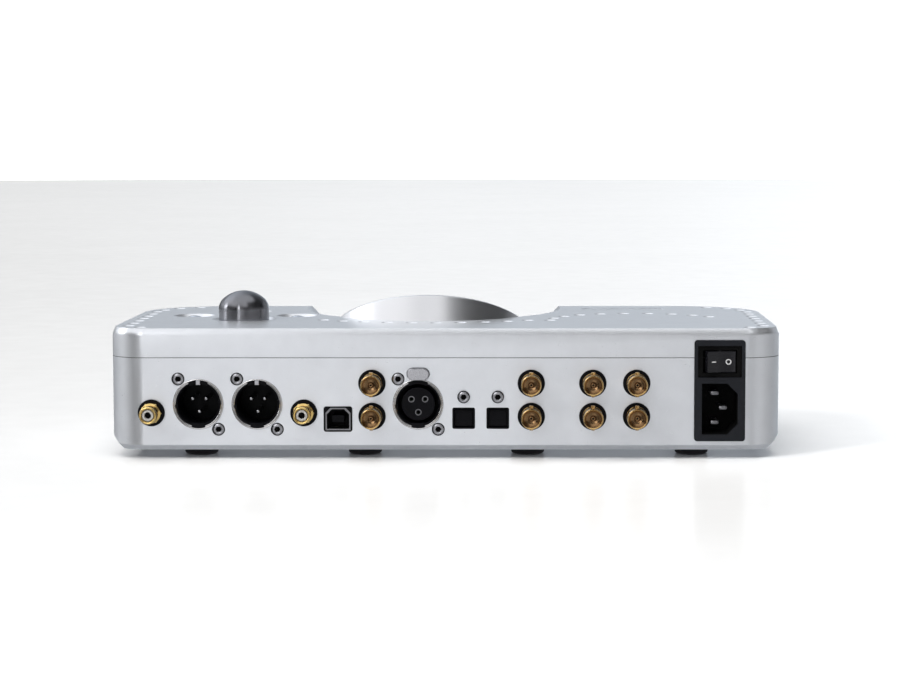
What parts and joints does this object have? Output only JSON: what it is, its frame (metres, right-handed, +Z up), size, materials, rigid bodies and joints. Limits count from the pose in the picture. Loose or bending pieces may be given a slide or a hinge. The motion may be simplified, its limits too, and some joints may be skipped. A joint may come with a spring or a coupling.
{
  "type": "headphone amplifier",
  "caption": "Low desktop headphone amplifier with a sloping round display window, domed volume knob beside three ball buttons, and a rear panel of audio sockets and a switched mains inlet.",
  "frame": {"origin": "on the table under the middle of the object's bounding box", "axes": "+X to the left seen from the front, along the width; +Y to the rear panel; +Z up; the display faces -Y"},
  "size_m": [0.32, 0.159, 0.0762],
  "materials": {
    "casing": "satin",
    "barrel": "turned",
    "feet": "matte",
    "black_screw": "satin",
    "steel_screw": "satin",
    "window": "gloss",
    "ring": "satin",
    "seal": "matte",
    "screen": "gloss",
    "circuit_board": "satin",
    "ribbon": "satin",
    "component_black": "satin",
    "shaft": "satin",
    "knob": "polished",
    "ball": "gloss",
    "spacer": "satin",
    "heat_sink": "anodised",
    "capacitor": "gloss",
    "transformer": "satin",
    "wire": "satin",
    "nickel": "satin",
    "connector_black": "satin",
    "contact_silver": "polished",
    "gold": "polished",
    "dielectric": "satin",
    "shutter": "satin",
    "inlet": "satin",
    "rocker": "gloss",
    "socket_nut": "polished"
  },
  "bodies": {
    "chassis": {"lower_casing": "casing", "upper_casing": "casing", "display_barrel": "barrel", "rubber_feet": "feet", "casing_screws": "black_screw", "foot_screws": "black_screw", "xlr_screws": "steel_screw", "optical_screws": "steel_screw", "board_screws": "steel_screw", "display_window": "window", "display_ring": "ring", "display_seal": "seal", "display_panel": "screen", "display_board": "circuit_board", "control_board": "circuit_board", "main_board": "circuit_board", "power_board": "circuit_board", "headphone_board": "circuit_board", "display_ribbon": "ribbon", "volume_encoder": "component_black", "button_switches": "component_black", "processor_chip": "component_black", "board_chips": "component_black", "output_transistors": "component_black", "bnc_housings": "component_black", "board_spacers": "spacer", "processor_heat_sink": "heat_sink", "output_heat_sink": "heat_sink", "filter_capacitors": "capacitor", "power_capacitors": "capacitor", "power_transformer": "transformer", "mains_wiring": "wire", "xlr_male_shells": "nickel", "xlr_female_shell": "nickel", "xlr_male_inserts": "connector_black", "xlr_female_insert": "connector_black", "phono_insulators": "connector_black", "usb_insert": "connector_black", "bnc_insulators": "connector_black", "optical_receivers": "connector_black", "jack_sockets": "connector_black", "xlr_male_pins": "contact_silver", "inlet_blades": "contact_silver", "usb_shell": "contact_silver", "phono_bodies": "gold", "bnc_bodies": "gold", "bnc_contacts": "dielectric", "mains_inlet": "inlet", "jack_nuts": "socket_nut"},
    "knob": {"encoder_shaft": "shaft", "volume_knob": "knob"},
    "button_outer": {"button_outer": "ball"},
    "button_inner": {"button_inner": "ball"},
    "button_front": {"button_front": "ball"},
    "power_rocker": {"power_rocker": "rocker"},
    "optical_shutter_a": {"optical_shutter_a": "shutter"},
    "optical_shutter_b": {"optical_shutter_b": "shutter"},
    "xlr_latch": {"xlr_latch": "nickel"}
  },
  "joints": [
    {"name": "volume_turn", "type": "hinge", "parent": "chassis", "child": "knob", "pos_m": [0.102, 0.009, 0.06], "axis": [0, 0, 1], "continuous": true},
    {"name": "button_outer_press", "type": "slide", "parent": "chassis", "child": "button_outer", "axis": [0, 0, -1], "range_m": [0, 0.001], "stiffness_N_per_m": 2200},
    {"name": "button_inner_press", "type": "slide", "parent": "chassis", "child": "button_inner", "axis": [0, 0, -1], "range_m": [0, 0.001], "stiffness_N_per_m": 2200},
    {"name": "button_front_press", "type": "slide", "parent": "chassis", "child": "button_front", "axis": [0, 0, -1], "range_m": [0, 0.001], "stiffness_N_per_m": 2200},
    {"name": "power_rock", "type": "hinge", "parent": "chassis", "child": "power_rocker", "pos_m": [-0.1304, 0.0667, 0.0463], "axis": [0, 0, 1], "range_deg": [-24, 0]},
    {"name": "xlr_latch_press", "type": "slide", "parent": "chassis", "child": "xlr_latch", "axis": [0, -1, 0], "range_m": [0, 0.0015], "stiffness_N_per_m": 1500},
    {"name": "shutter_a_swing", "type": "hinge", "parent": "chassis", "child": "optical_shutter_a", "pos_m": [-0.0089, 0.0661, 0.023], "axis": [-1, 0, 0], "range_deg": [0, 80], "stiffness_Nm_per_rad": 0.0006, "springref_deg": -11.46},
    {"name": "shutter_b_swing", "type": "hinge", "parent": "chassis", "child": "optical_shutter_b", "pos_m": [-0.0251, 0.0661, 0.023], "axis": [-1, 0, 0], "range_deg": [0, 80], "stiffness_Nm_per_rad": 0.0006, "springref_deg": -11.46}
  ]
}
